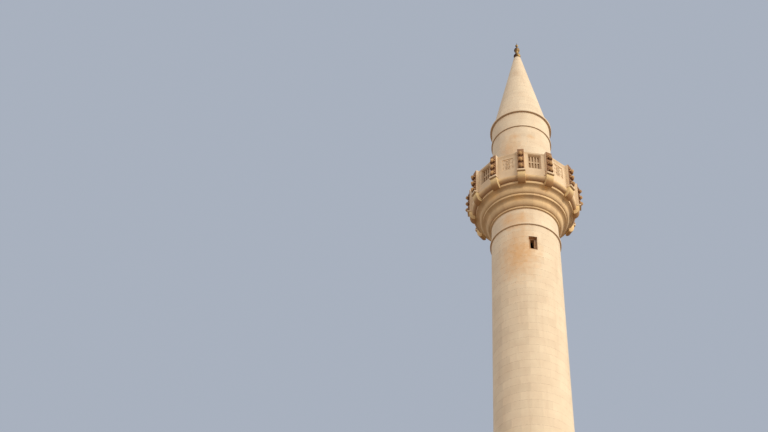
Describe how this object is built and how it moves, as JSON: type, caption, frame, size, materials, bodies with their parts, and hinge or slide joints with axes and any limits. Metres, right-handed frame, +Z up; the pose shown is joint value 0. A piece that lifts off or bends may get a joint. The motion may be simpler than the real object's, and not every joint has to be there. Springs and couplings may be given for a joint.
{
  "type": "stone minaret",
  "caption": "Round limestone minaret on a square hollow pedestal, with a twelve-sided carved gallery, a drum and a conical stone spire.",
  "frame": {"origin": "centre of the plinth's underside, at ground level", "axes": "+Z up the tower; the doorway faces -Y; +X to the right as one faces the doorway"},
  "size_m": [4.31, 4.355, 37.1603],
  "materials": {
    "limestone": "weathered cream ashlar, matt",
    "ochre_stone": "golden turned mouldings, matt",
    "carved_stone": "brown weathered carving, rough",
    "bronze": "aged bronze, half gloss"
  },
  "bodies": {
    "root": {"plinth": "limestone", "door_step": "limestone", "pedestal_wall_left": "limestone", "pedestal_wall_right": "limestone", "pedestal_wall_back": "limestone", "door_jamb_left": "limestone", "door_jamb_right": "limestone", "door_head": "limestone", "pedestal_cornice": "limestone", "transition_block": "limestone", "shaft_base_ring": "limestone", "shaft_lower_front": "limestone", "shaft_lower_back": "limestone", "shaft_middle_front": "limestone", "shaft_middle_back": "limestone", "shaft_upper_front": "limestone", "shaft_upper_back": "limestone", "gallery_neck": "limestone", "corbel_lower": "ochre_stone", "corbel_upper": "ochre_stone", "gallery_cornice": "ochre_stone", "gallery_floor": "limestone", "parapet_panel_1": "limestone", "parapet_panel_2": "limestone", "parapet_panel_3": "limestone", "parapet_panel_4": "limestone", "parapet_panel_5": "limestone", "parapet_panel_6": "limestone", "parapet_panel_7": "limestone", "parapet_panel_8": "limestone", "parapet_panel_9": "limestone", "parapet_panel_10": "limestone", "parapet_panel_11": "limestone", "parapet_panel_12": "limestone", "gallery_post_1": "carved_stone", "gallery_post_2": "carved_stone", "gallery_post_3": "carved_stone", "gallery_post_4": "carved_stone", "gallery_post_5": "carved_stone", "gallery_post_6": "carved_stone", "gallery_post_7": "carved_stone", "gallery_post_8": "carved_stone", "gallery_post_9": "carved_stone", "gallery_post_10": "carved_stone", "gallery_post_11": "carved_stone", "gallery_post_12": "carved_stone", "drum_front": "limestone", "drum_back_left": "limestone", "drum_back_right": "limestone", "drum_door_head": "limestone", "frieze_course": "limestone", "eave_course": "limestone", "spire_lower": "limestone", "spire_upper": "limestone", "finial": "bronze"}
  },
  "joints": []
}
